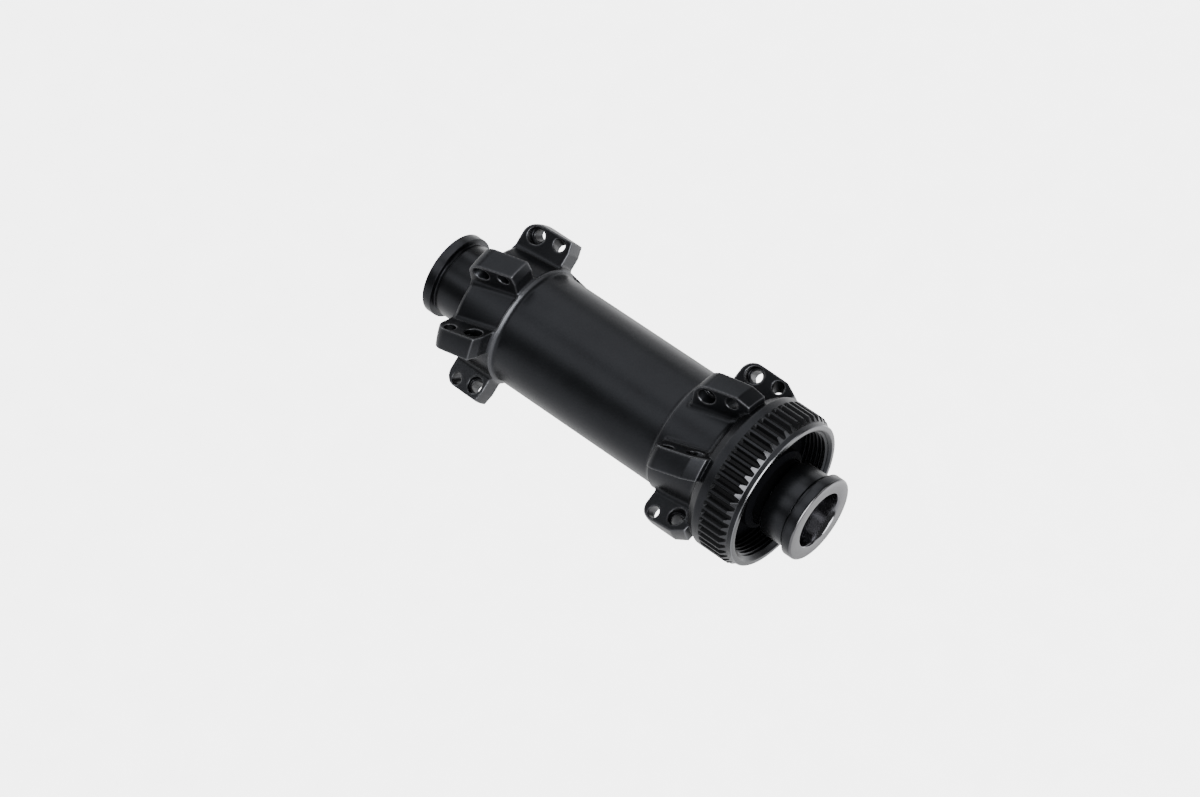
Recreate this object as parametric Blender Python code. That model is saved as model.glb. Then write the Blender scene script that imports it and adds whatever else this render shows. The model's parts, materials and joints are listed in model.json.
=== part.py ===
"""Front bicycle hub for a 12 mm through axle: a centre-lock disc hub with straight-pull spoke lugs.

The axle lies along Y, the brake disc side is at -Y, +Z is up, and the origin is the middle of the hub.
Sizes are in millimetres, and become metres where a mesh is made. A turned part is drawn as its outline,
a closed loop of (distance along the axle, radius) points, and spun round the axle.
"""

import math

import bmesh
import bpy
from mathutils import Euler, Matrix, Vector

MM = 0.001
AXLE_LINE = Vector((0.0, 1.0, 0.0))
SHARP_EDGE = math.radians(30.0)

# Facets round each kind of part.
SHELL_FACETS = 60
CAP_FACETS = 48
INNER_FACETS = 36
CAGE_FACETS = 26
O_RING_FACETS = 24
SPOKE_HOLE_FACETS = 12
POCKET_FACETS = 8

# Interfaces of the hub.
OVER_LOCKNUTS = 100.0
THROUGH_AXLE_BORE_R = 6.15
RUNNING_GAP = 0.3
SEAT_GAP = 0.05

# Deep-groove bearings, 15 x 24 x 5.
BEARING_BORE_R = 7.5
BEARING_OUTER_R = 12.0
BEARING_WIDTH = 5.0
PITCH_R = 9.75
BALL_R = 1.15
BALLS = 13
GROOVE_R = 1.35
INNER_SHOULDER_R = 8.9
OUTER_SHOULDER_R = 10.6
SEAL_THICKNESS = 0.5
SEAL_INSET = 0.25
SEAL_LIP_GAP = 0.08
CAGE_HALF_WIDTH = 1.62
CAGE_HALF_THICKNESS = 0.4
CAGE_POCKET_R = 1.33
POCKET_CUTTER_REACH = 1.5

# Hub shell.
BARREL_R = 13.05
SHELL_BORE_R = 10.6
FLOOR_R = 13.4
LUGS = 6
LUG_BASE_R = 12.7
LUG_TOP_R = 19.65
LUG_WIDTH = 5.3
LUG_NOSE_R = 2.85
LUG_SLICES = 2

# Centre-lock collar, all on the disc side.
MOUTH_FACE = 40.75
MOUTH_EDGE_R = 15.5
THREAD_MINOR_R = 14.5
LIP_R = 16.7
SPLINE_TEETH = 52
SPLINE_TIP_R = 17.6
SPLINE_ROOT_R = 16.8
SPLINE_FRONT = 39.4
SPLINE_BEVEL = 1.1
SLOT_END = 32.9
SLOT_ROOT_SHARE = 0.36
SLOT_MOUTH_SHARE = 0.7
SLOT_CUTTER_R = 17.85
SLOT_CUTTER_OVERRUN = 0.3
FIRST_SLOT_SHARE = 0.54

# Spoke holes: a through hole, and a wider seat for the spoke's head at one end of it.
SPOKE_HOLE_R = 1.3
SPOKE_SEAT_R = 1.85
SPOKE_SEAT_DEPTH = 1.6
HOLE_CUTTER_REACH = 1.6

# End caps.
CAP_RIM_R = 9.5
CAP_RIM_LENGTH = 2.3
CAP_GROOVE_WIDTH = 1.0
CAP_EDGE_STEPS = 2
DISC_CAP_EDGE_R = 0.5
FAR_CAP_EDGE_R = 0.3
CAP_NECK_R = 8.5
CAP_SOCKET_R = 7.75
CAP_NOSE_R = 8.6
CAP_NOSE_GAP = 0.15
CAP_SKIRT_R = 9.1
DISC_SHIELD_R = 12.6
DISC_SHIELD_THICKNESS = 0.9
FAR_SHIELD_R = 12.2
FAR_SHIELD_THICKNESS = 0.8

# Axle tube, and the O-ring in a groove on each stub.
AXLE_STUB = 4.5
AXLE_STUB_CHAMFER = 0.4
AXLE_BORE_R = 6.1
AXLE_SHOULDER_R = 8.6
O_RING_PLACE = 2.6
O_RING_R = 0.38
O_RING_CENTRE_R = 7.32
O_RING_GROOVE_DEPTH = 0.6
O_RING_GROOVE_HALF_WIDTH = 0.55

DISC = {"name": "disc_side", "sign": -1.0, "bearing_face": 33.0}
FAR = {"name": "far_side", "sign": 1.0, "bearing_face": 36.5}

# Each row of lugs: middle angle of the first lug, middle and slope of its slant, and its two spoke
# holes. "face" is the side of the lug, +1 or -1 round the axle, that holds the spoke head's seat, and
# the two heights say how far from the axle line the hole's centre enters and leaves the lug.
DISC_LUGS = {
    "angle": 82.55,
    "middle": -24.0,
    "slant": 0.27,
    "holes": (
        {"y": -20.95, "face": 1.0, "seat_height": 16.8, "exit_height": 17.9},
        {"y": -26.2, "face": -1.0, "seat_height": 16.1, "exit_height": 17.65},
    ),
}
FAR_LUGS = {
    "angle": 98.57,
    "middle": 31.0,
    "slant": 0.25,
    "holes": (
        {"y": 35.5, "face": 1.0, "seat_height": 16.8, "exit_height": 17.9},
        {"y": 30.4, "face": -1.0, "seat_height": 16.6, "exit_height": 17.7},
    ),
}


def clear_scene():
    for obj in list(bpy.data.objects):
        bpy.data.objects.remove(obj, do_unlink=True)


def make_material(name, colour, metallic, roughness):
    material = bpy.data.materials.new(name)
    material.use_nodes = True
    shader = material.node_tree.nodes["Principled BSDF"]
    shader.inputs["Base Color"].default_value = (*colour, 1.0)
    shader.inputs["Metallic"].default_value = metallic
    shader.inputs["Roughness"].default_value = roughness
    return material


def arc(centre, radius, start, end, steps):
    """Points on a circle in an outline, start to end in degrees, 0 along the axle and 90 outwards."""
    points = []
    for step in range(steps + 1):
        angle = math.radians(start + (end - start) * step / steps)
        points.append((centre[0] + radius * math.cos(angle), centre[1] + radius * math.sin(angle)))
    return points


def add_object(name, mesh, material, parent=None):
    obj = bpy.data.objects.new(name, mesh)
    bpy.context.scene.collection.objects.link(obj)
    if material:
        mesh.materials.append(material)
    obj.parent = parent
    return obj


def finish_mesh(name, bm, smooth=True):
    bmesh.ops.recalc_face_normals(bm, faces=bm.faces)
    mesh = bpy.data.meshes.new(name)
    bm.to_mesh(mesh)
    bm.free()
    if smooth:
        mesh.shade_smooth()
        mesh.set_sharp_from_angle(angle=SHARP_EDGE)
    return mesh


def spun_mesh(name, outline, facets):
    """The closed outline of (y, radius) points, spun once round the axle line."""
    bm = bmesh.new()
    corners = [bm.verts.new(Vector((radius, y, 0.0)) * MM) for y, radius in outline]
    edges = [bm.edges.new((a, b)) for a, b in zip(corners, corners[1:] + corners[:1])]
    bmesh.ops.spin(
        bm,
        geom=corners + edges,
        cent=(0.0, 0.0, 0.0),
        axis=AXLE_LINE,
        angle=math.tau,
        steps=facets,
        use_merge=True,
    )
    return finish_mesh(name, bm)


def turned(name, outline, facets, material, centre=0.0):
    """A turned part whose object sits on the axle line, at centre along it."""
    local = [(y - centre, radius) for y, radius in outline]
    obj = add_object(name, spun_mesh(name, local, facets), material)
    obj.location = Vector((0.0, centre, 0.0)) * MM
    return obj


def on_side(side, outline):
    """An outline drawn outwards from the middle of the hub, put on one side of it."""
    return [(side["sign"] * y, radius) for y, radius in outline]


def helper(name, mesh):
    """A shape that only Booleans use."""
    obj = add_object(name, mesh, None)
    obj.hide_render = True
    obj.display_type = "WIRE"
    return obj


def add_boolean(obj, operation, operand):
    modifier = obj.modifiers.new(operation.title(), "BOOLEAN")
    modifier.operation = operation
    modifier.solver = "EXACT"
    if isinstance(operand, bpy.types.Collection):
        modifier.operand_type = "COLLECTION"
        modifier.collection = operand
    else:
        modifier.object = operand


# Hub shell


def shell_outline():
    """The shell without lugs or splines: its outside from the disc side to the far side, then its inside."""
    disc_bearing_end = DISC["bearing_face"] - BEARING_WIDTH - SEAT_GAP
    far_bearing_end = FAR["bearing_face"] - BEARING_WIDTH - SEAT_GAP
    return [
        (-MOUTH_FACE, MOUTH_EDGE_R),
        (-MOUTH_FACE, LIP_R - 0.25),
        (-MOUTH_FACE + 0.25, LIP_R),
        (-SPLINE_FRONT, LIP_R),
        (-SPLINE_FRONT + SPLINE_BEVEL, SPLINE_TIP_R),
        (-31.1, SPLINE_TIP_R),
        (-29.3, 16.4),
        (-28.7, 15.5),
        (-28.1, 14.2),
        (-27.2, FLOOR_R),
        (-16.3, FLOOR_R),
        (-15.9, 13.2),
        (-15.1, BARREL_R),
        (25.3, BARREL_R),
        (26.0, 13.2),
        (26.5, 13.6),
        (26.75, 13.7),
        (27.0, 13.65),
        (27.4, FLOOR_R),
        (37.7, FLOOR_R),
        (38.2, 13.0),
        (38.2, 12.5),
        (37.1, 12.5),
        (36.8, BEARING_OUTER_R),
        (far_bearing_end, BEARING_OUTER_R),
        (far_bearing_end, SHELL_BORE_R),
        (-disc_bearing_end, SHELL_BORE_R),
        (-disc_bearing_end, BEARING_OUTER_R),
        (-33.7, BEARING_OUTER_R),
        (-33.9, 12.3),
        (-33.9, THREAD_MINOR_R),
        (-MOUTH_FACE + MOUTH_EDGE_R - THREAD_MINOR_R, THREAD_MINOR_R),
    ]


def disc_lug_outline():
    """A disc side lug seen along the hub's edge: round nose inboard, sloped end by the splines."""
    nose = arc((-20.85, LUG_TOP_R - LUG_NOSE_R), LUG_NOSE_R, 0.0, 90.0, 4)
    splined_end = [(-27.05, LUG_TOP_R), (-29.75, 18.3), (-29.9, 17.2)]
    return [(-29.9, LUG_BASE_R), (-18.3, LUG_BASE_R), *nose, *splined_end]


def far_lug_outline():
    """A far side lug: round nose outboard, upright end by the barrel."""
    nose = arc((35.5, LUG_TOP_R - LUG_NOSE_R), LUG_NOSE_R, 0.0, 90.0, 4)
    return [(27.75, LUG_BASE_R), (38.05, LUG_BASE_R), *nose, (28.35, LUG_TOP_R), (27.75, 17.2)]


def lug_mesh(name, outline, row):
    """One lug at angle 0: the outline at slices across its width, each point held at its turned radius."""
    bm = bmesh.new()
    rings = []
    for step in range(LUG_SLICES + 1):
        across = LUG_WIDTH * (step / LUG_SLICES - 0.5)
        ring = []
        for y, radius in outline:
            sideways = across + row["slant"] * (y - row["middle"])
            height = math.sqrt(radius**2 - sideways**2)
            ring.append(bm.verts.new(Vector((height, y, sideways)) * MM))
        rings.append(ring)
    bm.faces.new(rings[0])
    bm.faces.new(rings[-1])
    for near, far in zip(rings, rings[1:]):
        for i, corner in enumerate(near):
            bm.faces.new((corner, near[i - 1], far[i - 1], far[i]))
    return finish_mesh(name, bm)


def lug_angles(row):
    return [row["angle"] + 360.0 * index / LUGS for index in range(LUGS)]


def turn_to(angle):
    """Turns +X to an angle about the axle line, counted from +X towards +Z."""
    return Matrix.Rotation(-math.radians(angle), 4, AXLE_LINE)


def spline_slots_mesh():
    """The cutter for the slots between the spline teeth: one tapered bar for each."""
    flank = (SLOT_MOUTH_SHARE - SLOT_ROOT_SHARE) / (SPLINE_TIP_R - SPLINE_ROOT_R)
    mouth_share = SLOT_ROOT_SHARE + flank * (SLOT_CUTTER_R - SPLINE_ROOT_R)
    section = (
        (SPLINE_ROOT_R, -SLOT_ROOT_SHARE / 2),
        (SPLINE_ROOT_R, SLOT_ROOT_SHARE / 2),
        (SLOT_CUTTER_R, mouth_share / 2),
        (SLOT_CUTTER_R, -mouth_share / 2),
    )
    bm = bmesh.new()
    for index in range(SPLINE_TEETH):
        ends = []
        for y in (-SPLINE_FRONT - SLOT_CUTTER_OVERRUN, -SLOT_END):
            ring = []
            for radius, share in section:
                turn = turn_to(360.0 * (index + FIRST_SLOT_SHARE + share) / SPLINE_TEETH)
                ring.append(bm.verts.new(turn @ Vector((radius, y, 0.0)) * MM))
            ends.append(ring)
            bm.faces.new(ring)
        for i, corner in enumerate(ends[0]):
            bm.faces.new((corner, ends[0][i - 1], ends[1][i - 1], ends[1][i]))
    return finish_mesh("spline_slots", bm, smooth=False)


def add_rod(bm, start, end, radius, facets):
    """Adds a closed cylinder between two points."""
    line = end - start
    turn = line.to_track_quat("Z", "Y").to_matrix().to_4x4()
    bmesh.ops.create_cone(
        bm,
        cap_ends=True,
        segments=facets,
        radius1=radius * MM,
        radius2=radius * MM,
        depth=line.length * MM,
        matrix=Matrix.Translation((start + end) / 2 * MM) @ turn,
    )


def hole_line(row, hole):
    """Where a spoke hole's centre line meets its seat face and its exit face, on the lug at angle 0."""
    slanted = row["slant"] * (hole["y"] - row["middle"])
    seat = Vector((hole["seat_height"], hole["y"], slanted + hole["face"] * LUG_WIDTH / 2))
    leaving = Vector((hole["exit_height"], hole["y"], slanted - hole["face"] * LUG_WIDTH / 2))
    return seat, leaving


def spoke_hole_meshes():
    """Two cutters, one with every through hole and one with every spoke head's seat."""
    through = bmesh.new()
    seats = bmesh.new()
    for row in (DISC_LUGS, FAR_LUGS):
        for angle in lug_angles(row):
            turn = turn_to(angle)
            for hole in row["holes"]:
                seat, leaving = hole_line(row, hole)
                along = (leaving - seat).normalized()
                start = turn @ (seat - along * HOLE_CUTTER_REACH)
                end = turn @ (leaving + along * HOLE_CUTTER_REACH)
                seat_floor = turn @ (seat + along * SPOKE_SEAT_DEPTH)
                add_rod(through, start, end, SPOKE_HOLE_R, SPOKE_HOLE_FACETS)
                add_rod(seats, start, seat_floor, SPOKE_SEAT_R, SPOKE_HOLE_FACETS)
    return finish_mesh("spoke_holes", through), finish_mesh("spoke_seats", seats)


def lug_collection():
    """All the lugs, in a collection of their own that the shell's union takes."""
    lugs = bpy.data.collections.new("lugs")
    bpy.context.scene.collection.children.link(lugs)
    rows = (("disc", DISC_LUGS, disc_lug_outline()), ("far", FAR_LUGS, far_lug_outline()))
    for side, row, outline in rows:
        mesh = lug_mesh(f"{side}_lug", outline, row)
        for index, angle in enumerate(lug_angles(row)):
            lug = helper(f"{side}_lug_{index + 1}", mesh)
            lug.matrix_world = turn_to(angle)
            bpy.context.scene.collection.objects.unlink(lug)
            lugs.objects.link(lug)
    return lugs


def build_hub_shell(material):
    shell = turned("hub_shell", shell_outline(), SHELL_FACETS, material)
    add_boolean(shell, "UNION", lug_collection())
    for mesh in (spline_slots_mesh(), *spoke_hole_meshes()):
        add_boolean(shell, "DIFFERENCE", helper(mesh.name, mesh))


# Axle and end caps


def axle_outline():
    """The axle tube, with a shoulder between the bearings and an O-ring groove on each stub."""
    groove_r = BEARING_BORE_R - O_RING_GROOVE_DEPTH
    outside = []
    for side in (DISC, FAR):
        face = side["bearing_face"]
        groove_start = face + O_RING_PLACE - O_RING_GROOVE_HALF_WIDTH
        groove_end = face + O_RING_PLACE + O_RING_GROOVE_HALF_WIDTH
        half = [
            (face - BEARING_WIDTH - SEAT_GAP, AXLE_SHOULDER_R),
            (face - BEARING_WIDTH - SEAT_GAP, BEARING_BORE_R),
            (groove_start, BEARING_BORE_R),
            (groove_start, groove_r),
            (groove_end, groove_r),
            (groove_end, BEARING_BORE_R),
            (face + AXLE_STUB - AXLE_STUB_CHAMFER, BEARING_BORE_R),
            (face + AXLE_STUB, BEARING_BORE_R - AXLE_STUB_CHAMFER),
            (face + AXLE_STUB, AXLE_BORE_R),
        ]
        placed = on_side(side, half)
        outside += placed if side is DISC else placed[::-1]
    return outside


def build_axle(material):
    turned("axle", axle_outline(), INNER_FACETS, material)


def cap_outer_end(edge_r):
    """The end of a cap that the fork clamps: rim, its face and the mouth of the through-axle bore."""
    face = OVER_LOCKNUTS / 2
    rim_start = face - CAP_RIM_LENGTH
    undercut_r = CAP_NECK_R - 0.25
    return [
        (rim_start - CAP_GROOVE_WIDTH, CAP_NECK_R),
        (rim_start - CAP_GROOVE_WIDTH + 0.2, undercut_r),
        (rim_start, undercut_r),
        (rim_start, CAP_RIM_R - 0.2),
        (rim_start + 0.2, CAP_RIM_R),
        *arc((face - edge_r, CAP_RIM_R - edge_r), edge_r, 90.0, 0.0, CAP_EDGE_STEPS),
        (face, THROUGH_AXLE_BORE_R + 0.25),
        (face - 0.5, THROUGH_AXLE_BORE_R),
    ]


def cap_socket(side):
    """The bore of a cap inside its outer end: a socket that slips over the axle's stub."""
    nose = side["bearing_face"] + CAP_NOSE_GAP
    stub_end = side["bearing_face"] + AXLE_STUB
    return [
        (stub_end + RUNNING_GAP, THROUGH_AXLE_BORE_R),
        (stub_end + RUNNING_GAP, CAP_SOCKET_R),
        (nose, CAP_SOCKET_R),
        (nose, CAP_NOSE_R),
    ]


def build_disc_cap(material):
    """Its neck steps in to a waist, then out to a dust shield that stays clear of the shell's floor."""
    shield = DISC["bearing_face"] + 1.2
    outline = [
        *cap_socket(DISC),
        (shield, CAP_NOSE_R),
        (shield, DISC_SHIELD_R),
        (shield + DISC_SHIELD_THICKNESS, DISC_SHIELD_R),
        (shield + DISC_SHIELD_THICKNESS, CAP_SKIRT_R),
        (38.1, CAP_SKIRT_R),
        (38.9, 7.5),
        (41.2, 7.5),
        (41.4, CAP_NECK_R - 0.1),
        (41.5, CAP_NECK_R),
        *cap_outer_end(DISC_CAP_EDGE_R),
    ]
    turned("end_cap_disc_side", on_side(DISC, outline), CAP_FACETS, material)


def build_far_cap(material):
    """Its dust shield sits in the mouth of the shell."""
    shield = FAR["bearing_face"] + 0.85
    outline = [
        *cap_socket(FAR),
        (shield, CAP_NOSE_R),
        (shield, FAR_SHIELD_R),
        (shield + FAR_SHIELD_THICKNESS, FAR_SHIELD_R),
        (shield + 1.6, CAP_SKIRT_R),
        (shield + 2.4, CAP_NECK_R),
        *cap_outer_end(FAR_CAP_EDGE_R),
    ]
    turned("end_cap_far_side", on_side(FAR, outline), CAP_FACETS, material)


def build_o_ring(side, material):
    centre = side["sign"] * (side["bearing_face"] + O_RING_PLACE)
    section = arc((centre, O_RING_CENTRE_R), O_RING_R, 0.0, 300.0, 5)
    turned(f"o_ring_{side['name']}", section, O_RING_FACETS, material, centre)


# Bearings


def race_outline(centre, flat_r, shoulder_r, opening):
    """A race between its plain face and its shoulders, with the ball groove between start and end angles."""
    half = BEARING_WIDTH / 2
    start, end = opening
    groove = arc((centre, PITCH_R), GROOVE_R, start, end, 4)
    return [
        (centre - half, flat_r),
        (centre - half, shoulder_r),
        *groove,
        (centre + half, shoulder_r),
        (centre + half, flat_r),
    ]


def groove_angles(shoulder_r):
    """The angles at which the groove's circle crosses a shoulder, from the -Y side to the +Y side."""
    crossing = math.degrees(math.asin((shoulder_r - PITCH_R) / GROOVE_R))
    return 180.0 - crossing, crossing + (360.0 if crossing < 0.0 else 0.0)


def build_cage(prefix, centre, material):
    """A ring between the races, with a round pocket for each ball."""
    outline = [
        (centre - CAGE_HALF_WIDTH, PITCH_R - CAGE_HALF_THICKNESS),
        (centre + CAGE_HALF_WIDTH, PITCH_R - CAGE_HALF_THICKNESS),
        (centre + CAGE_HALF_WIDTH, PITCH_R + CAGE_HALF_THICKNESS),
        (centre - CAGE_HALF_WIDTH, PITCH_R + CAGE_HALF_THICKNESS),
    ]
    cage = turned(f"{prefix}_cage", outline, CAGE_FACETS, material, centre)
    pockets = bmesh.new()
    for index in range(BALLS):
        outward = turn_to(360.0 * index / BALLS) @ Vector((1.0, 0.0, 0.0))
        start = outward * (PITCH_R - POCKET_CUTTER_REACH)
        end = outward * (PITCH_R + POCKET_CUTTER_REACH)
        add_rod(pockets, start, end, CAGE_POCKET_R, POCKET_FACETS)
    cutter = helper(f"{prefix}_pockets", finish_mesh(f"{prefix}_pockets", pockets))
    cutter.location = cage.location
    add_boolean(cage, "DIFFERENCE", cutter)


def build_balls(prefix, centre, material):
    bm = bmesh.new()
    bmesh.ops.create_icosphere(bm, subdivisions=2, radius=BALL_R * MM)
    mesh = finish_mesh("ball", bm, smooth=False)
    mesh.shade_smooth()
    mesh.materials.append(material)
    pivot = bpy.data.objects.new(f"{prefix}_cage_pivot", None)
    pivot.location = Vector((0.0, centre, 0.0)) * MM
    bpy.context.scene.collection.objects.link(pivot)
    for index in range(BALLS):
        ball = add_object(f"{prefix}_ball_{index + 1:02d}", mesh, None, pivot)
        ball.location = turn_to(360.0 * index / BALLS) @ Vector((PITCH_R, 0.0, 0.0)) * MM
        ball.rotation_euler = Euler((0.0, math.tau * index / BALLS, 0.0))


def build_seals(prefix, side, material):
    """Two thin rubber seals, each just inside an end face of the bearing."""
    inner_r = INNER_SHOULDER_R + SEAL_LIP_GAP
    outer_r = OUTER_SHOULDER_R - SEAT_GAP
    outer_face = side["bearing_face"] - SEAL_INSET
    inner_face = side["bearing_face"] - BEARING_WIDTH + SEAL_INSET + SEAL_THICKNESS
    for name, face in (("outer_seal", outer_face), ("inner_seal", inner_face)):
        back = face - SEAL_THICKNESS
        outline = [(back, inner_r), (back, outer_r), (face, outer_r), (face, inner_r)]
        centre = side["sign"] * (face + back) / 2
        turned(f"{prefix}_{name}", on_side(side, outline), INNER_FACETS, material, centre)


def build_bearing(side, steel, cage_plastic, rubber):
    prefix = f"bearing_{side['name']}"
    centre = side["sign"] * (side["bearing_face"] - BEARING_WIDTH / 2)
    inner_r = BEARING_BORE_R + SEAT_GAP
    outer_r = BEARING_OUTER_R - SEAT_GAP
    inner = race_outline(centre, inner_r, INNER_SHOULDER_R, groove_angles(INNER_SHOULDER_R))
    outer = race_outline(centre, outer_r, OUTER_SHOULDER_R, groove_angles(OUTER_SHOULDER_R))
    turned(f"{prefix}_inner_race", inner, INNER_FACETS, steel, centre)
    turned(f"{prefix}_outer_race", outer, INNER_FACETS, steel, centre)
    build_cage(prefix, centre, cage_plastic)
    build_balls(prefix, centre, steel)
    build_seals(prefix, side, rubber)


def main():
    clear_scene()
    shell_black = make_material("shell_black_anodised", (0.018, 0.018, 0.020), 0.75, 0.42)
    cap_black = make_material("cap_black_anodised", (0.015, 0.015, 0.017), 0.8, 0.28)
    axle_silver = make_material("axle_aluminium", (0.55, 0.55, 0.56), 1.0, 0.35)
    steel = make_material("bearing_steel", (0.60, 0.60, 0.62), 1.0, 0.2)
    cage_plastic = make_material("cage_plastic", (0.10, 0.06, 0.03), 0.0, 0.5)
    rubber = make_material("black_rubber", (0.012, 0.012, 0.012), 0.0, 0.7)
    build_hub_shell(shell_black)
    build_axle(axle_silver)
    build_disc_cap(cap_black)
    build_far_cap(cap_black)
    for side in (DISC, FAR):
        build_o_ring(side, rubber)
        build_bearing(side, steel, cage_plastic, rubber)


main()
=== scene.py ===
import json
import math

import bpy
import numpy as np
from mathutils import Matrix, Vector


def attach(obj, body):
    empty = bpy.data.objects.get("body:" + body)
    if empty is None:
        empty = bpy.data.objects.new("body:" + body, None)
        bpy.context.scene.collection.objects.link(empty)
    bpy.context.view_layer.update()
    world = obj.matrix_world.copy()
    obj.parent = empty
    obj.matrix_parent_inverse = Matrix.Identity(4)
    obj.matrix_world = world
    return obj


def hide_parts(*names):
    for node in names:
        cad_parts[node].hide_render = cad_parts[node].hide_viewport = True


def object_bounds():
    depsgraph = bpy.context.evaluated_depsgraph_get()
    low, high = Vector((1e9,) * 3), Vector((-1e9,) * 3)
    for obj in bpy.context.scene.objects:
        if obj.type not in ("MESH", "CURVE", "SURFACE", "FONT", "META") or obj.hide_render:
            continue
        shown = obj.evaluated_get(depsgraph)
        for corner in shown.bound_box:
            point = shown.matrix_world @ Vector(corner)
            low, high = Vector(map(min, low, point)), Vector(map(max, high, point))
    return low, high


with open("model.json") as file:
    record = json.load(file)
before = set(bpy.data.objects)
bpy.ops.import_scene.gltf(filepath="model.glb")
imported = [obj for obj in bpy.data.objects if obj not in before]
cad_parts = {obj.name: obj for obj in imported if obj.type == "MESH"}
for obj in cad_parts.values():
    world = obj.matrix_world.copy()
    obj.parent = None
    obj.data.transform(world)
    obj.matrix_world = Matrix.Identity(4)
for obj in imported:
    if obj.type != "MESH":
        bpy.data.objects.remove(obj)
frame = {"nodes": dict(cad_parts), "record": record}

# Sizes are in millimetres, and become metres where a mesh is made. The axle lies along Y.
MM = 0.001
SIDES = {"disc_side": -1.0, "far_side": 1.0}
BEARING_FACE = {"disc_side": 33.0, "far_side": 36.5}

# Lugs: six in each row.
SECTORS = 6
SECTOR_ANGLE = math.tau / SECTORS
LUG_TOP_R = 19.65
LUG_BASE_R = 12.0
LUG_WIDTH = 5.3
LUG_NOSE_R = 2.85
LUG_EDGE_R = 0.22
LUG_FILLET_R = 1.0
COLLAR_FILLET_R = 0.3
SPOKE_HOLE_R = 1.3
SPOKE_SEAT_R = 1.85
SPOKE_SEAT_DEPTH = 1.6
HOLE_REACH = 1.6
HOLE_EDGE_R = 0.12

# Cells of the shell's mesh, the share below which a direction is left out of a vertex's place, and the
# distance over which a field's slope is taken.
CELL = 0.2
SECTOR_CELLS = 84
WEAK_SHARE = 0.06
SLOPE_STEP = 0.01

# Shell.
BARREL_R = 13.05
FLOOR_R = 13.4
COLLAR_R = 17.6

# Spline teeth and the threaded mouth.
TEETH = 52
FIRST_SLOT_SHARE = 0.54
SLOT_ROOT_SHARE = 0.36
SLOT_MOUTH_SHARE = 0.76
SLOT_RUN_OUT = 0.45
SPLINE_ROOT_R = 16.8
SPLINE_FRONT = -39.4
SPLINE_BEVEL = 1.1
SLOT_END = -32.9
MOUTH_FACE = -40.75
MOUTH_EDGE_R = 15.5
LIP_R = 16.68
LIP_FLAT_R = 16.0
LIP_CHAMFER = 0.18
LIP_FALL = 0.05
LIP_OVERLAP = 0.1
THREAD_MINOR_R = 14.5
THREAD_DEPTH = 0.54
THREAD_PITCH = 1.0
THREAD_START = -34.6

# Caps.
RIM_START = 47.7
GROOVE_WIDTH = 1.0
BORE_FINISH_R = 6.5
BARE_START = {"disc_side": 49.6, "far_side": 49.9}

# Outward curvature, per millimetre, at which an edge starts to take its lighter colour and takes it fully,
# and that colour: it stands for both edge wear and a painted highlight along the rounded edges.
WEAR_AND_SHEEN_CURVATURE = (0.5, 1.8)
WEAR_AND_SHEEN_COLOUR = (0.1, 0.102, 0.11)

# Painted highlight on the bead round the far end of the barrel, a lighter band of colour for a lamp's
# reflection: its middle, the distances from the middle at which the highlight starts and ends its fade, and
# how strong it is.
BEAD_HIGHLIGHT_MIDDLE = 27.1
BEAD_HIGHLIGHT_FADE = (0.15, 0.5)
BEAD_HIGHLIGHT_STRENGTH = 0.5

# Studio, in metres: half the floor's side, and its distance below the hub. Then the strength of the
# floor's and the world's glow on the hub, and of both as the camera sees them.
FLOOR_HALF = 6.0
FLOOR_DROP = 0.15
FLOOR_GLOW = 0.56
WORLD_GLOW = 0.12
GLOW_SEEN = 4.5


# Meshes


def arc(centre, radius, start, end, steps):
    """Points of a circle in an outline, start to end in degrees, 0 along the axle and 90 outwards."""
    turns = np.radians(np.linspace(start, end, steps + 1))
    return [(centre[0] + radius * math.cos(t), centre[1] + radius * math.sin(t)) for t in turns]


def add_piece(name, mesh, material, body, replaced):
    mesh.materials.append(material)
    piece = bpy.data.objects.new(name, mesh)
    bpy.context.scene.collection.objects.link(piece)
    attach(piece, body)
    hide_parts(replaced)
    return piece


def smooth_mesh(name, points, faces, sharp=None):
    mesh = bpy.data.meshes.new(name)
    mesh.from_pydata(np.asarray(points, float) * MM, [], faces)
    mesh.validate()
    mesh.shade_smooth()
    if sharp:
        mesh.set_sharp_from_angle(angle=math.radians(sharp))
    return mesh


def ring_faces(rows, columns):
    """Quads between rows of points that each close on themselves after columns points."""
    row, column = np.meshgrid(np.arange(rows - 1), np.arange(columns), indexing="ij")
    here, ahead = row * columns, (row + 1) * columns
    after = (column + 1) % columns
    quads = np.stack([here + column, ahead + column, ahead + after, here + after], axis=-1)
    return quads.reshape(-1, 4)


def turned_mesh(name, outline, segments=192, closed=True, sharp=35.0):
    """The outline of (y, radius) points, spun round the axle line."""
    loop = np.array(outline + outline[:1] if closed else outline)
    turns = np.linspace(0.0, math.tau, segments, endpoint=False)
    points = np.stack(
        [
            loop[:, 1, None] * np.cos(turns),
            np.repeat(loop[:, 0, None], segments, axis=1),
            loop[:, 1, None] * np.sin(turns),
        ],
        axis=-1,
    ).reshape(-1, 3)
    rows = len(loop)
    faces = ring_faces(rows, segments)
    if closed:
        last = (rows - 1) * segments
        faces = np.where(faces >= last, faces - last, faces)
        points = points[:last]
    return smooth_mesh(name, points, faces.tolist(), sharp)


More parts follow.
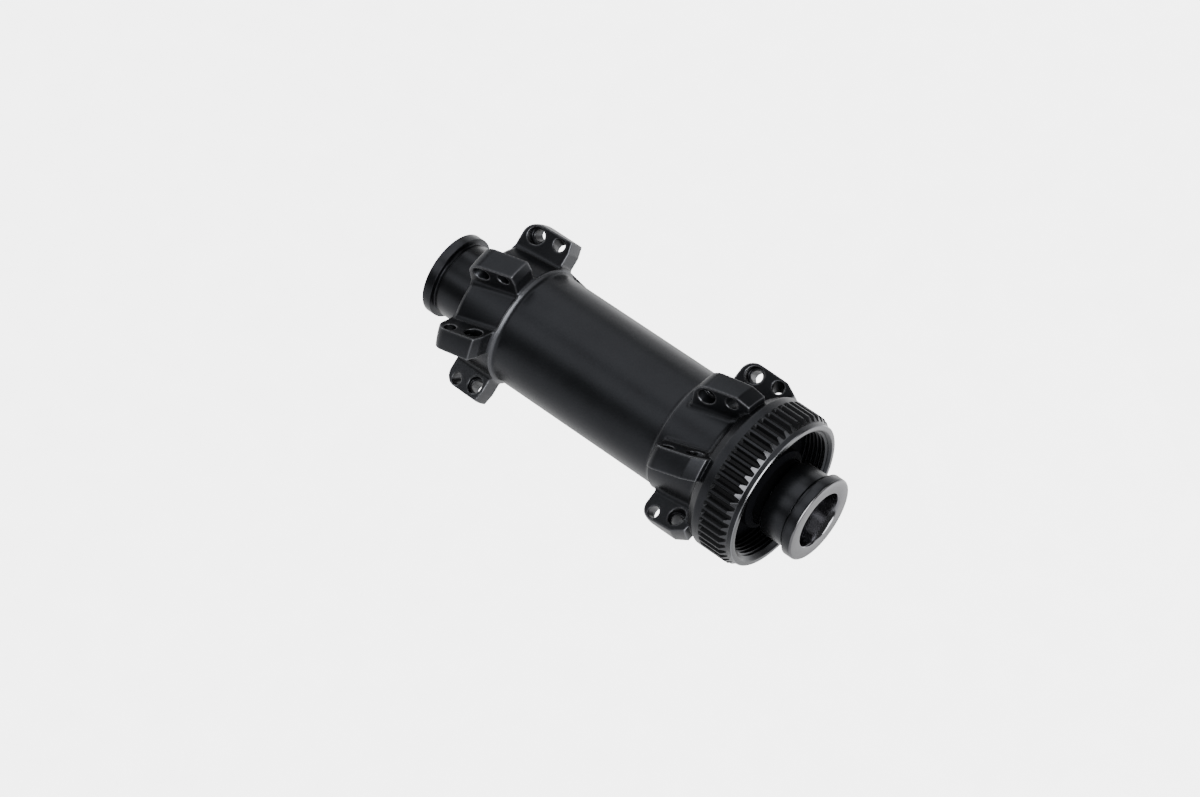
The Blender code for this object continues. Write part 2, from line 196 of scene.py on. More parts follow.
def mark_wear_and_sheen_edges(mesh):
    """Stores how sharply the mesh bends outwards at each vertex, for the finish to show as worn edges that
    also carry a painted highlight.
    """
    count = len(mesh.vertices)
    points, normals = np.empty(count * 3), np.empty(count * 3)
    pairs = np.empty(len(mesh.edges) * 2, int)
    mesh.vertices.foreach_get("co", points)
    mesh.vertices.foreach_get("normal", normals)
    mesh.edges.foreach_get("vertices", pairs)
    points, normals = points.reshape(-1, 3) / MM, normals.reshape(-1, 3)
    one, other = pairs.reshape(-1, 2).T
    along = points[other] - points[one]
    bend = np.sum((normals[other] - normals[one]) * along, axis=1) / np.sum(along * along, axis=1)
    ends = np.concatenate([one, other])
    near = np.maximum(np.bincount(ends, minlength=count), 1)
    curvature = np.bincount(ends, np.tile(bend, 2), count) / near
    low, high = WEAR_AND_SHEEN_CURVATURE
    wear_and_sheen = np.clip((curvature - low) / (high - low), 0.0, 1.0)
    around = np.bincount(ends, np.concatenate([wear_and_sheen[other], wear_and_sheen[one]]), count) / near
    stored = mesh.attributes.new("wear_and_sheen", "FLOAT", "POINT")
    stored.data.foreach_set("value", (wear_and_sheen + around) / 2)


# Fields: each gives a distance in millimetres at arrays of points, negative inside the metal.


def round_union(a, b, radius):
    """Joins two fields with a concave fillet."""
    inner = np.hypot(np.maximum(radius - a, 0.0), np.maximum(radius - b, 0.0))
    return np.maximum(radius, np.minimum(a, b)) - inner


def round_cut(a, b, radius):
    """What two fields share, with a rounded convex edge."""
    outer = np.hypot(np.maximum(radius + a, 0.0), np.maximum(radius + b, 0.0))
    return np.minimum(-radius, np.maximum(a, b)) + outer


def outline_distance(outline, y, radius):
    """Distance to a closed outline of (y, radius) points."""
    nearest = np.full(np.shape(y), 1e9)
    inside = np.zeros(np.shape(y), bool)
    for (y0, r0), (y1, r1) in zip(outline, outline[1:] + outline[:1]):
        dy, dr = y1 - y0, r1 - r0
        if math.hypot(dy, dr) < 1e-6:
            continue
        along = np.clip(((y - y0) * dy + (radius - r0) * dr) / (dy * dy + dr * dr), 0.0, 1.0)
        nearest = np.minimum(nearest, (y - y0 - dy * along) ** 2 + (radius - r0 - dr * along) ** 2)
        if dr:
            crossed = (r0 > radius) != (r1 > radius)
            inside ^= crossed & (y < y0 + (radius - r0) / dr * dy)
    return np.where(inside, -1.0, 1.0) * np.sqrt(nearest)


CORE_OUTLINE = [
    (-36.0, 10.0),
    (-36.0, COLLAR_R),
    *arc((-31.3, COLLAR_R - 0.5), 0.5, 90.0, 60.0, 4),
    *arc((-29.55, 16.15), 0.35, 60.0, -10.0, 6),
    (-28.62, 15.4),
    *arc((-26.6, 15.4), 2.0, 190.0, 270.0, 12),
    *arc((-16.3, FLOOR_R - 0.2), 0.2, 90.0, 45.0, 4),
    *arc((-15.1, BARREL_R + 1.3), 1.3, 225.0, 270.0, 8),
    *arc((25.95, BARREL_R + 1.34), 1.34, 270.0, 325.0, 8),
    *arc((27.3, 13.45), 0.3, 145.0, 15.0, 9),
    (27.75, FLOOR_R),
    (37.5, FLOOR_R),
    (38.2, 12.95),
    (38.2, 12.5),
    (37.1, 12.5),
    (36.9, 10.0),
]

ROWS = (
    {
        "angle": math.radians(82.55),
        "middle": -24.0,
        "slant": 0.27,
        "outline": [
            (-29.9, LUG_BASE_R),
            (-18.0, LUG_BASE_R),
            *arc((-20.85, LUG_TOP_R - LUG_NOSE_R), LUG_NOSE_R, 0.0, 90.0, 14),
            (-27.05, LUG_TOP_R),
            (-29.75, 18.3),
            (-29.9, 17.2),
        ],
        "holes": ((-20.95, 1.0, 16.8, 17.9), (-26.2, -1.0, 16.1, 17.65)),
    },
    {
        "angle": math.radians(98.57),
        "middle": 31.0,
        "slant": 0.25,
        "outline": [
            (27.75, LUG_BASE_R),
            (38.35, LUG_BASE_R),
            *arc((35.5, LUG_TOP_R - LUG_NOSE_R), LUG_NOSE_R, 0.0, 90.0, 14),
            (28.35, LUG_TOP_R),
            (27.75, 17.2),
        ],
        "holes": ((35.5, 1.0, 16.8, 17.9), (30.4, -1.0, 16.6, 17.7)),
    },
)


def hole_distance(row, hole, height, y, sideways):
    """A spoke's hole, with the wider seat that its head sits in. A hole is (y, the side round the axle
    that holds its seat, and its heights above the axle at the seat and where it leaves)."""
    place, side, seat_height, exit_height = hole
    slanted = row["slant"] * (place - row["middle"])
    seat = np.array([seat_height, place, slanted + side * LUG_WIDTH / 2])
    leaving = np.array([exit_height, place, slanted - side * LUG_WIDTH / 2])
    length = np.linalg.norm(leaving - seat)
    line = (leaving - seat) / length
    offset = [height - seat[0], y - seat[1], sideways - seat[2]]
    along = sum(o * c for o, c in zip(offset, line))
    away = np.sqrt(np.maximum(sum(o * o for o in offset) - along**2, 0.0))
    ends = np.abs(along - length / 2) - length / 2 - HOLE_REACH
    through = np.maximum(away - SPOKE_HOLE_R, ends)
    seating = np.maximum(np.maximum(away - SPOKE_SEAT_R, along - SPOKE_SEAT_DEPTH), ends)
    return np.minimum(through, seating)


def shell_field(x, y, z):
    """The outside of the hub shell: its turned core, the two rows of lugs and their spoke holes."""
    radius = np.hypot(x, z)
    angle = np.arctan2(z, x)
    metal = outline_distance(CORE_OUTLINE, y, radius)
    fillet = np.interp(y, (-29.6, -28.2), (COLLAR_FILLET_R, LUG_FILLET_R))
    for row in ROWS:
        turn = np.mod(angle - row["angle"] + SECTOR_ANGLE / 2, SECTOR_ANGLE) - SECTOR_ANGLE / 2
        height = radius * np.cos(turn)
        sideways = radius * np.sin(turn)
        across = np.abs(sideways - row["slant"] * (y - row["middle"])) - LUG_WIDTH / 2
        sides = across * math.cos(math.atan(row["slant"]))
        lug = round_cut(sides, outline_distance(row["outline"], y, radius), LUG_EDGE_R)
        metal = round_union(metal, lug, fillet)
        for hole in row["holes"]:
            metal = round_cut(metal, -hole_distance(row, hole, height, y, sideways), HOLE_EDGE_R)
    return metal


def gradient(field, points):
    slopes = []
    for axis in range(3):
        ahead, behind = points.copy(), points.copy()
        ahead[:, axis] += SLOPE_STEP
        behind[:, axis] -= SLOPE_STEP
        slopes.append(field(*ahead.T) - field(*behind.T))
    slopes = np.stack(slopes, axis=-1)
    return slopes / np.maximum(np.linalg.norm(slopes, axis=1, keepdims=True), 1e-12)


def to_points(places):
    """(angle, y, radius) to (x, y, z)."""
    angle, y, radius = places.T
    return np.stack([radius * np.cos(angle), y, radius * np.sin(angle)], axis=-1)


def crossings(field, values, grids, axis):
    """Where the field changes sign along the grid's edges in one direction: (edge's first node, whether the
    field rises along the edge, the crossing point)."""
    low = np.take(values, range(values.shape[axis] - 1), axis)
    high = np.take(values, range(1, values.shape[axis]), axis)
    nodes = np.argwhere((low < 0.0) != (high < 0.0))
    places = np.stack([grids[d][nodes[:, d]] for d in range(3)], axis=-1)
    far = grids[axis][nodes[:, axis] + 1]
    near_value, far_value = low[tuple(nodes.T)], high[tuple(nodes.T)]
    rises = far_value > near_value
    near = places[:, axis].copy()
    for _ in range(4):
        middle = near + (far - near) * near_value / (near_value - far_value)
        places[:, axis] = middle
        value = field(*to_points(places).T)
        same = (value < 0.0) == (near_value < 0.0)
        near, near_value = np.where(same, middle, near), np.where(same, value, near_value)
        far, far_value = np.where(same, far, middle), np.where(same, far_value, value)
    return nodes, rises, to_points(places)


def cells_round(nodes, axis):
    """The four grid cells that share each edge, in a loop."""
    first, second = [d for d in range(3) if d != axis]
    loop = []
    for back_first, back_second in ((1, 1), (0, 1), (0, 0), (1, 0)):
        cell = nodes.copy()
        cell[:, first] -= back_first
        cell[:, second] -= back_second
        loop.append(cell)
    return np.stack(loop, axis=1)


def place_vertices(shape, found, reach):
    """One point in each cell that the surface crosses, where the planes of its crossings meet best, at
    most the reach away from the middle of the crossings."""
    count = int(np.prod(shape))
    planes = np.zeros((count, 9))
    sums = np.zeros((count, 3))
    aims = np.zeros((count, 3))
    hits = np.zeros(count)
    for cells, points, normals in found:
        outer = (normals[:, :, None] * normals[:, None, :]).reshape(-1, 9)
        aim = normals * np.sum(normals * points, axis=1, keepdims=True)
        for corner in range(4):
            cell = cells[:, corner]
            inside = np.all((cell >= 0) & (cell < shape), axis=1)
            index = np.ravel_multi_index(cell[inside].T, shape)
            hits += np.bincount(index, minlength=count)
            for column in range(9):
                planes[:, column] += np.bincount(index, outer[inside, column], count)
            for column in range(3):
                sums[:, column] += np.bincount(index, points[inside, column], count)
                aims[:, column] += np.bincount(index, aim[inside, column], count)
    used = np.flatnonzero(hits)
    mean = sums[used] / hits[used, None]
    matrix = planes[used].reshape(-1, 3, 3)
    rest = aims[used] - np.einsum("nij,nj->ni", matrix, mean)
    sizes, axes = np.linalg.eigh(matrix)
    weak = sizes < WEAK_SHARE * sizes[:, 2:]
    inverse = np.where(weak, 0.0, 1.0 / np.where(weak, 1.0, sizes))
    shift = np.einsum("nij,nj,nkj,nk->ni", axes, inverse, axes, rest)
    length = np.linalg.norm(shift, axis=1, keepdims=True)
    shift *= np.minimum(1.0, reach / np.maximum(length, 1e-12))
    lookup = np.full(count, -1)
    lookup[used] = np.arange(len(used))
    return mean + shift, lookup


def sector_mesh(name, field, y_grid, r_grid, sector_cells, reach):
    """A six-fold surface where the field is zero: a sector of cells (angle, y, radius), repeated round."""
    grids = (np.linspace(0.0, SECTOR_ANGLE, sector_cells + 1), y_grid, r_grid)
    angle, y, radius = np.meshgrid(*grids, indexing="ij")
    values = field(radius * np.cos(angle), y, radius * np.sin(angle))
    shape = tuple(len(g) - 1 for g in grids)
    found, edges = [], []
    for axis in range(3):
        nodes, rises, points = crossings(field, values, grids, axis)
        cells = cells_round(nodes, axis)
        found.append((cells, points, gradient(field, points)))
        edges.append((cells, rises == (axis == 1), nodes[:, 0] < sector_cells))
    vertices, lookup = place_vertices(shape, found, reach)
    faces = []
    for cells, ahead, own in edges:
        fits = own & np.all((cells[:, :, 1:] >= 0) & (cells[:, :, 1:] < shape[1:]), axis=(1, 2))
        cells, ahead = cells[fits], ahead[fits]
        wrapped = cells[:, :, 0] < 0
        cells[:, :, 0] = np.where(wrapped, sector_cells - 1, cells[:, :, 0])
        index = lookup[np.ravel_multi_index(cells.transpose(2, 0, 1), shape)] - wrapped * len(vertices)
        faces.append(np.where(ahead[:, None], index, index[:, ::-1]))
    faces = np.concatenate(faces)
    all_points, all_faces = [], []
    for sector in range(SECTORS):
        c, s = math.cos(SECTOR_ANGLE * sector), math.sin(SECTOR_ANGLE * sector)
        x, y, z = vertices.T
        all_points.append(np.stack([x * c - z * s, y, x * s + z * c], axis=-1))
        all_faces.append((faces + sector * len(vertices)) % (SECTORS * len(vertices)))
    return smooth_mesh(name, np.concatenate(all_points), np.concatenate(all_faces).tolist())


# Hub shell


def build_shell(material):
    """The lug rows get rows of cells a CELL apart, and the plain barrel between them gets wider ones."""
    disc_rows = np.arange(-32.3, -15.0, CELL)
    barrel_rows = np.linspace(disc_rows[-1] + 0.6, 22.6, 30)
    far_rows = np.arange(23.0, 38.7, CELL)
    y_grid = np.concatenate([disc_rows, barrel_rows, far_rows])
    r_grid = np.arange(11.9, 20.1, CELL)
    mesh = sector_mesh("hub_shell_body", shell_field, y_grid, r_grid, SECTOR_CELLS, 1.5 * CELL)
    mark_wear_and_sheen_edges(mesh)
    add_piece("hub_shell_body", mesh, material, "hub_shell", "hub_shell")


def spline_section(y):
    """Points of one pitch of the splined ring at one place along it, as (share of the pitch, radius)."""
    root, mouth = SLOT_ROOT_SHARE / 2, SLOT_MOUTH_SHARE / 2
    bevelled = np.clip((SPLINE_FRONT + SPLINE_BEVEL - y) / SPLINE_BEVEL, 0.0, 1.0)
    edge = mouth + (root - mouth) * bevelled
    tip = COLLAR_R + (SPLINE_ROOT_R - COLLAR_R) * bevelled
    return [(-root, SPLINE_ROOT_R), (root, SPLINE_ROOT_R), (edge, tip), (0.5, tip), (1.0 - edge, tip)]


def build_splines(material, slot_shade_material, cut_material):
    """The ring of teeth: each pitch runs from the smooth collar, down the slot's end wall, to the bevel."""
    flat = [(share, COLLAR_R) for share, _ in spline_section(SLOT_END)]
    rows = [SLOT_END - SLOT_RUN_OUT, SPLINE_FRONT + SPLINE_BEVEL, SPLINE_FRONT]
    sections = [(-31.7, flat), (SLOT_END, flat)]
    sections += [(y, spline_section(y)) for y in rows]
    foot = SPLINE_ROOT_R - LIP_R + LIP_OVERLAP
    under_lip = [(share, LIP_R - LIP_OVERLAP) for share, _ in spline_section(SPLINE_FRONT)]
    sections.append((SPLINE_FRONT - foot, under_lip))
    points = []
    for y, section in sections:
        for tooth in range(TEETH):
            for share, radius in section:
                turn = math.tau * (tooth + FIRST_SLOT_SHARE + share) / TEETH
                points.append((radius * math.cos(turn), y, radius * math.sin(turn)))
    faces = ring_faces(len(sections), TEETH * 5)[:, ::-1]
    mesh = smooth_mesh("hub_shell_splines", points, faces.tolist(), 25.0)
    piece = add_piece(mesh.name, mesh, material, "hub_shell", "hub_shell")
    mesh.materials.append(slot_shade_material)
    mesh.materials.append(cut_material)
    # Bevel faces get the cut finish, and slot faces a darker colour that paints the shade in the slots.
    for face in mesh.polygons:
        x, y, z = face.center / MM
        share = (math.atan2(z, x) / math.tau * TEETH - FIRST_SLOT_SHARE + 0.5) % 1.0 - 0.5
        if y < SPLINE_FRONT + SPLINE_BEVEL and abs(face.normal.y) > 0.4:
            face.material_index = 2
        elif y < SLOT_END and abs(share) < SLOT_MOUTH_SHARE / 2:
            face.material_index = 1
    weld = piece.modifiers.new("Weld", "WELD")
    weld.merge_threshold = 0.00001
    bevel = piece.modifiers.new("Bevel", "BEVEL")
    bevel.width = 0.07 * MM
    bevel.segments = 2
    bevel.limit_method = "ANGLE"
    bevel.angle_limit = math.radians(25.0)
    bevel.harden_normals = True


def build_lip(material, cut_material, chamfer_highlight_material):
    """The plain ring in front of the teeth. Its turned end face is brighter than its outside, and the
    chamfer round it is brighter still, a painted highlight."""
    outline = [
        (SPLINE_FRONT + 0.6, LIP_R),
        (MOUTH_FACE + LIP_FALL + LIP_CHAMFER, LIP_R),
        (MOUTH_FACE + LIP_FALL, LIP_R - LIP_CHAMFER),
        (MOUTH_FACE, LIP_FLAT_R),
        *arc((MOUTH_FACE + 0.06, MOUTH_EDGE_R + 0.06), 0.06, 180.0, 225.0, 3),
        (MOUTH_FACE + 0.56, MOUTH_EDGE_R - 0.5),
    ]
    mesh = turned_mesh("hub_shell_lip", outline[::-1], 256, closed=False, sharp=9.0)
    add_piece(mesh.name, mesh, material, "hub_shell", "hub_shell")
    mesh.materials.append(cut_material)
    mesh.materials.append(chamfer_highlight_material)
    for face in mesh.polygons:
        x, y, z = face.center / MM
        if y < MOUTH_FACE + LIP_FALL + LIP_CHAMFER:
            face.material_index = 2 if math.hypot(x, z) > LIP_R - LIP_CHAMFER else 1


def build_thread(material):
    """The thread inside the mouth, as a helical ribbon of crest, flanks and root."""
    steps = 160
    profile = [(0.0, 0.0), (0.14, 0.0), (0.2, 0.03), (0.48, 0.95), (0.55, 1.0), (0.66, 1.0), (0.73, 0.95)]
    profile += [(1.0, 0.03)]
    turns = int((THREAD_START - MOUTH_FACE) / THREAD_PITCH) + 1
    points = []
    for index in range(turns * steps + 1):
        turn = math.tau * index / steps
        for share, depth in profile:
            y = MOUTH_FACE - THREAD_PITCH + THREAD_PITCH * (index / steps + share)
            radius = THREAD_MINOR_R + THREAD_DEPTH * depth
            entry = MOUTH_EDGE_R - (y - MOUTH_FACE)
            y = min(max(y, MOUTH_FACE + 0.06), THREAD_START)
            radius = min(max(radius, entry), MOUTH_EDGE_R - 0.02)
            points.append((radius * math.cos(turn), y, radius * math.sin(turn)))
    width = len(profile)
    row, column = np.meshgrid(np.arange(turns * steps), np.arange(width - 1), indexing="ij")
    corner = row * width + column
    quads = np.stack([corner, corner + 1, corner + width + 1, corner + width], axis=-1).reshape(-1, 4)
    mesh = smooth_mesh("hub_shell_thread", points, quads.tolist(), 35.0)
    add_piece(mesh.name, mesh, material, "hub_shell", "hub_shell")


def build_bores(material):
    """The inside of the shell: disc side recess, both bearing seats and the bore between them, in a
    near-black colour that paints the shade inside the shell.
    """
    outline = [
        (THREAD_START - 0.1, THREAD_MINOR_R + 0.2),
        (THREAD_START + 0.3, THREAD_MINOR_R),
        (-34.0, THREAD_MINOR_R),
        (-33.9, THREAD_MINOR_R - 0.1),
        (-33.9, 12.3),
        (-33.7, 12.02),
        (-27.95, 12.02),
        (-27.95, 10.6),
        (31.45, 10.6),
        (31.45, 12.02),
        (36.8, 12.02),
        (37.1, 12.5),
    ]
    mesh = turned_mesh("hub_shell_bores", outline[::-1], 192, closed=False)
    add_piece(mesh.name, mesh, material, "hub_shell", "hub_shell")


# End caps


def cap_outer_end(edge_r):
    """Groove, rim, end face and bore mouth of a cap, drawn outwards from the end of its neck."""
    return [
        *arc((RIM_START - GROOVE_WIDTH, 8.35), 0.15, 90.0, 30.0, 3),
        *arc((RIM_START - 0.75, 8.35), 0.15, 200.0, 270.0, 3),
        *arc((RIM_START - 0.25, 8.45), 0.25, 270.0, 345.0, 4),
        *arc((RIM_START + 0.12, 9.38), 0.12, 180.0, 90.0, 3),
        *arc((50.0 - edge_r, 9.5 - edge_r), edge_r, 90.0, 0.0, 12),
        *arc((49.93, 6.43), 0.07, 0.0, -45.0, 2),
        (49.55, 6.15),
    ]


def add_cap_piece(side, name, outline, material, bare=()):
    """A turned piece of a cap. Its end face and its bore can have bare finishes."""
    placed = [(SIDES[side] * y, radius) for y, radius in outline]
    mesh = turned_mesh(f"end_cap_{side}_{name}", placed if SIDES[side] > 0.0 else placed[::-1], 192)
    add_piece(mesh.name, mesh, material, f"end_cap_{side}", f"end_cap_{side}")
    for finish in bare:
        mesh.materials.append(finish)
    for face in mesh.polygons if bare else ():
        x, y, z = face.center / MM
        if math.hypot(x, z) < BORE_FINISH_R:
            face.material_index = 2
        elif abs(y) > BARE_START[side]:
            face.material_index = 1


def build_caps(turned_black, painted_shade_black, bare):
    """Each cap has a turned body; the disc side cap also has a skirt that shields the bearing from dust,
    near-black as painted shade of the recess it sits in.
    """
    disc_skirt = [
        (34.2, 7.75),
        (34.2, 12.5),
        *arc((34.9, 12.3), 0.2, 90.0, 0.0, 4),
        (35.1, 9.1),
        (38.1, 9.1),
        (38.9, 7.75),
    ]
    disc_body = [
        (BEARING_FACE["disc_side"] + 4.8, 6.15),
        (BEARING_FACE["disc_side"] + 4.8, 7.5),
        (41.25, 7.5),
        (41.3, 8.4),
        *arc((41.45, 8.38), 0.12, 180.0, 90.0, 3),
        *cap_outer_end(0.5),
    ]
    far_body = [
        (BEARING_FACE["far_side"] + 4.8, 6.15),
        (BEARING_FACE["far_side"] + 4.8, 7.75),
        (37.35, 7.75),
        (37.35, 12.2),
        (38.0, 12.2),
        (38.15, 12.05),
        (38.95, 9.1),
        *arc((39.6, 9.2), 0.7, 200.0, 270.0, 5),
        *cap_outer_end(0.3),
    ]
    add_cap_piece("disc_side", "skirt", disc_skirt, painted_shade_black)
    add_cap_piece("disc_side", "body", disc_body, turned_black, bare)
    add_cap_piece("far_side", "body", far_body, turned_black, bare)


# Looks


def node_input(node, name, value):
    node.inputs[name].default_value = value


def add_wear_sheen_and_bead_highlight(tree, colour, edge):
    """Blends the base colour towards the edge colour where the mesh is marked as worn, which paints both
    edge wear and a highlight along the edges, and on the bead round the far end of the barrel, which is a
    painted highlight."""
    wear_and_sheen = tree.nodes.new("ShaderNodeAttribute")
    wear_and_sheen.attribute_name = "wear_and_sheen"
    place = tree.nodes.new("ShaderNodeTexCoord")
    split = tree.nodes.new("ShaderNodeSeparateXYZ")
    offset = tree.nodes.new("ShaderNodeMath")
    offset.operation = "SUBTRACT"
    offset.inputs[1].default_value = BEAD_HIGHLIGHT_MIDDLE * MM
    distance = tree.nodes.new("ShaderNodeMath")
    distance.operation = "ABSOLUTE"
    # Painted highlight: a lighter band round the far bead, fading with distance from its middle.
    bead_highlight = tree.nodes.new("ShaderNodeMapRange")
    node_input(bead_highlight, "From Min", BEAD_HIGHLIGHT_FADE[1] * MM)
    node_input(bead_highlight, "From Max", BEAD_HIGHLIGHT_FADE[0] * MM)
    node_input(bead_highlight, "To Max", BEAD_HIGHLIGHT_STRENGTH)
    both = tree.nodes.new("ShaderNodeMath")
    both.operation = "MAXIMUM"
    mix = tree.nodes.new("ShaderNodeMixRGB")
    tree.links.new(place.outputs["Object"], split.inputs["Vector"])
    tree.links.new(split.outputs["Y"], offset.inputs[0])
    tree.links.new(offset.outputs["Value"], distance.inputs[0])
    tree.links.new(distance.outputs["Value"], bead_highlight.inputs["Value"])
    tree.links.new(wear_and_sheen.outputs["Fac"], both.inputs[0])
    tree.links.new(bead_highlight.outputs["Result"], both.inputs[1])
    tree.links.new(both.outputs["Value"], mix.inputs["Fac"])
    tree.links.new(colour, mix.inputs["Color1"])
    node_input(mix, "Color2", (*edge, 1.0))
    tree.links.new(mix.outputs["Color"], tree.nodes["Principled BSDF"].inputs["Base Color"])


def make_finish(name, colour, metallic, roughness, grain, bump, specular=0.5, edge=None):
    """A finish with a fine grain in its bump, cloudy wear in its roughness, and a slight drift of colour.
    An edge colour shows where handling has polished the outer edges, and also paints highlights along them
    and on the far bead."""
    material = bpy.data.materials.new(name)
    material.use_nodes = True
    tree = material.node_tree
    shader = tree.nodes["Principled BSDF"]
    node_input(shader, "Metallic", metallic)
    node_input(shader, "Specular IOR Level", specular)
    place = tree.nodes.new("ShaderNodeTexCoord")
    fine = tree.nodes.new("ShaderNodeTexNoise")
    node_input(fine, "Scale", grain)
    node_input(fine, "Detail", 3.0)
    cloudy = tree.nodes.new("ShaderNodeTexNoise")
    node_input(cloudy, "Scale", 90.0)
    node_input(cloudy, "Detail", 5.0)
    for noise in (fine, cloudy):
        tree.links.new(place.outputs["Object"], noise.inputs["Vector"])
    wear = tree.nodes.new("ShaderNodeMapRange")
    node_input(wear, "From Min", 0.3)
    node_input(wear, "From Max", 0.7)
    node_input(wear, "To Min", roughness - 0.035)
    node_input(wear, "To Max", roughness + 0.035)
    tree.links.new(cloudy.outputs["Fac"], wear.inputs["Value"])
    tree.links.new(wear.outputs["Result"], shader.inputs["Roughness"])
    ramp = tree.nodes.new("ShaderNodeValToRGB")
    ramp.color_ramp.elements[0].position = 0.3
    ramp.color_ramp.elements[1].position = 0.7
    ramp.color_ramp.elements[0].color = (*(c * 0.85 for c in colour), 1.0)
    ramp.color_ramp.elements[1].color = (*(c * 1.15 for c in colour), 1.0)
    tree.links.new(cloudy.outputs["Fac"], ramp.inputs["Fac"])
    if edge:
        add_wear_sheen_and_bead_highlight(tree, ramp.outputs["Color"], edge)
    else:
        tree.links.new(ramp.outputs["Color"], shader.inputs["Base Color"])
    relief = tree.nodes.new("ShaderNodeBump")
    node_input(relief, "Strength", bump)
    node_input(relief, "Distance", 0.02 * MM)
    tree.links.new(fine.outputs["Fac"], relief.inputs["Height"])
    tree.links.new(relief.outputs["Normal"], shader.inputs["Normal"])
    return material


def finish_inner_parts():
    """The pieces inside keep their CAD shapes and get finishes of their own."""
    finishes = {
        "axle_aluminium": make_finish("axle_look", (0.55, 0.55, 0.56), 1.0, 0.32, 2500.0, 0.3),
        "bearing_steel": make_finish("steel_look", (0.6, 0.6, 0.62), 1.0, 0.18, 3000.0, 0.1),
        "cage_plastic": make_finish("cage_look", (0.1, 0.06, 0.03), 0.0, 0.5, 2000.0, 0.4),
        "black_rubber": make_finish("rubber_look", (0.012, 0.012, 0.012), 0.0, 0.62, 2600.0, 0.6),
    }
    for part in frame["record"]["subparts"]:
        if part["material_slot"] in finishes:
            node = frame["nodes"][part["node"]]
            node.data.materials.clear()
            node.data.materials.append(finishes[part["material_slot"]])


# Studio


def add_light(name, azimuth, elevation, distance, size, power):
    """A soft rectangular lamp that faces the hub, in the direction given in degrees; azimuth 0 is -Y.
    The camera doesn't see it."""
    light = bpy.data.lights.new(name, "AREA")
    light.shape = "RECTANGLE"
    light.size, light.size_y = size
    light.energy = power
    across, up = math.radians(azimuth), math.radians(elevation)
    away = Vector((math.sin(across) * math.cos(up), -math.cos(across) * math.cos(up), math.sin(up)))
    lamp = bpy.data.objects.new(name, light)
    lamp.location = away * distance
    lamp.rotation_mode = "QUATERNION"
    lamp.rotation_quaternion = away.to_track_quat("Z", "Y")
    lamp.visible_camera = False
    bpy.context.scene.collection.objects.link(lamp)


def add_glow(tree, strength, socket):
    """Glows with one strength on the hub, and with another to the camera."""
    ray = tree.nodes.new("ShaderNodeLightPath")
    glow = tree.nodes.new("ShaderNodeMapRange")
    node_input(glow, "To Min", strength)
    node_input(glow, "To Max", GLOW_SEEN)
    tree.links.new(ray.outputs["Is Camera Ray"], glow.inputs["Value"])
    tree.links.new(glow.outputs["Result"], socket)


def floor_look():
    """Pale paper: it glows to the camera as if lit apart from the hub, and more softly towards the hub."""
    material = make_finish("floor_look", (0.5, 0.5, 0.505), 0.0, 0.7, 300.0, 0.1)
    tree = material.node_tree
    shader = tree.nodes["Principled BSDF"]
    node_input(shader, "Emission Color", (1.0, 1.0, 1.0, 1.0))
    add_glow(tree, FLOOR_GLOW, shader.inputs["Emission Strength"])
    return material


def build_floor():
    low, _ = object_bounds()
    mesh = bpy.data.meshes.new("floor")
    half = FLOOR_HALF
    corners = [(-half, -half, 0.0), (half, -half, 0.0), (half, half, 0.0), (-half, half, 0.0)]
    mesh.from_pydata(corners, [], [(0, 1, 2, 3)])
    mesh.materials.append(floor_look())
    floor = bpy.data.objects.new("floor", mesh)
    floor.location = (0.0, 0.0, low[2] - FLOOR_DROP)
    bpy.context.scene.collection.objects.link(floor)


def build_world():
    world = bpy.data.worlds.new("world")
    world.use_nodes = True
    background = world.node_tree.nodes["Background"]
    node_input(background, "Color", (1.0, 1.0, 1.0, 1.0))
    add_glow(world.node_tree, WORLD_GLOW, background.inputs["Strength"])
    bpy.context.scene.world = world


def build_studio():
    build_floor()
    build_world()
    add_light("right", 100.0, 12.0, 1.2, (1.0, 0.5), 2.4)
    add_light("right_low", 117.0, -20.0, 0.36, (0.26, 0.2), 0.12)
    add_light("top", 165.0, 72.0, 1.2, (0.9, 0.7), 4.4)
    add_light("front", 36.0, 25.0, 1.2, (0.5, 0.5), 1.5)
    add_light("left", -125.0, 45.0, 1.2, (0.6, 0.6), 2.5)
    add_light("left_front", -20.0, 24.0, 1.2, (1.15, 0.75), 30.0)
    add_light("fill", 128.0, 42.0, 1.2, (0.5, 0.5), 1.6)
    add_light("back", 165.0, 4.0, 1.2, (1.4, 0.4), 3.0)
    add_light("back_band", 178.0, 24.0, 1.2, (1.5, 0.16), 4.0)
    add_light("under", 55.0, -40.0, 0.24, (0.22, 0.18), 0.2)
    add_light("left_neck", -96.0, 3.0, 0.145, (0.05, 0.06), 0.014)


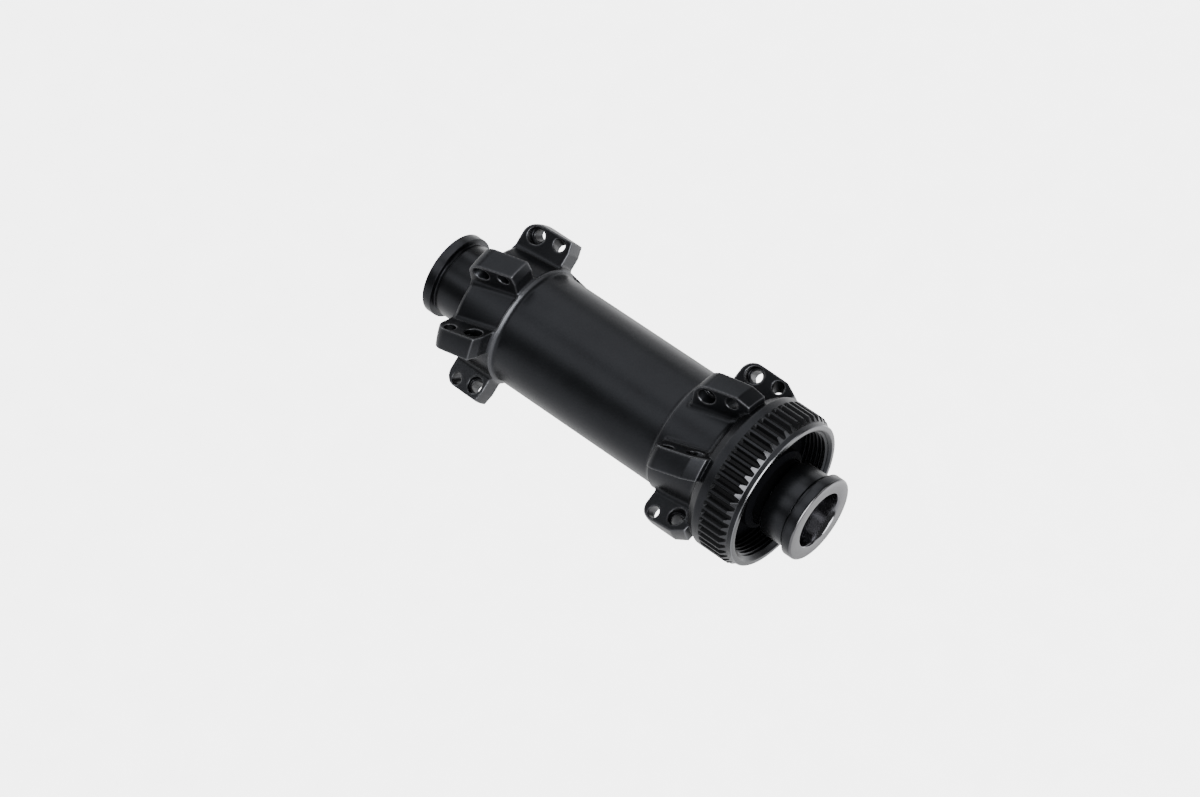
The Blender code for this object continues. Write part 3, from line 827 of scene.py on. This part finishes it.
def build_camera():
    """Looks at the hub from above its disc end: turned from -Y by the azimuth, and up by the elevation."""
    camera = bpy.data.objects.new("camera", bpy.data.cameras.new("camera"))
    camera.data.sensor_width = 36.0
    camera.data.lens = 105.2
    camera.data.clip_start = 0.05
    camera.data.clip_end = 50.0
    azimuth, elevation = math.radians(-48.991), math.radians(51.278)
    back = Vector(
        (
            math.sin(azimuth) * math.cos(elevation),
            -math.cos(azimuth) * math.cos(elevation),
            math.sin(elevation),
        )
    )
    right = Vector((math.cos(azimuth), math.sin(azimuth), 0.0))
    up = back.cross(right)
    turn = Matrix((right, up, back)).transposed().to_4x4()
    camera.matrix_world = Matrix.Translation((-0.346715, -0.29308, 0.564398)) @ turn
    bpy.context.scene.collection.objects.link(camera)
    bpy.context.scene.camera = camera


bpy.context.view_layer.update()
# The shell's edge colour paints both edge wear and a highlight along its rounded edges, and a highlight on
# the far bead.
shell_look = make_finish("shell_look", (0.02, 0.021, 0.024), 0.9, 0.36, 3200.0, 0.5, edge=WEAR_AND_SHEEN_COLOUR)
cap_look = make_finish("cap_look", (0.022, 0.023, 0.026), 0.9, 0.3, 3200.0, 0.2)
bare_look = make_finish("bare_look", (0.11, 0.11, 0.115), 1.0, 0.22, 3200.0, 0.1)
bore_look = make_finish("bore_look", (0.17, 0.17, 0.18), 1.0, 0.14, 2600.0, 0.06)
cut_look = make_finish("cut_look", (0.05, 0.051, 0.055), 1.0, 0.24, 3200.0, 0.15)
face_look = make_finish("face_look", (0.065, 0.066, 0.07), 1.0, 0.22, 3200.0, 0.15)
# Painted highlight: the lip's chamfer is given a brighter colour than its turned face, for the thin line of
# light along it.
lip_chamfer_highlight_look = make_finish("lip_chamfer_highlight_look", (0.16, 0.163, 0.172), 1.0, 0.2, 3200.0, 0.1)
# Painted shade: the spline slots get a darker, rougher colour than the shell for the shade deep in them.
slot_shade_look = make_finish("slot_shade_look", (0.009, 0.0093, 0.0105), 0.85, 0.5, 3200.0, 0.5)
# Painted shade: a near-black colour for the shell's inner bores and the disc side cap's skirt, where the
# recess lies in shade.
recess_shade_look = make_finish("recess_shade_look", (0.0018, 0.0019, 0.0025), 0.0, 0.8, 2600.0, 0.4, 0.02)
build_shell(shell_look)
build_splines(shell_look, slot_shade_look, cut_look)
build_lip(shell_look, face_look, lip_chamfer_highlight_look)
build_thread(cap_look)
build_bores(recess_shade_look)
build_caps(cap_look, recess_shade_look, (bare_look, bore_look))
finish_inner_parts()
build_studio()
build_camera()
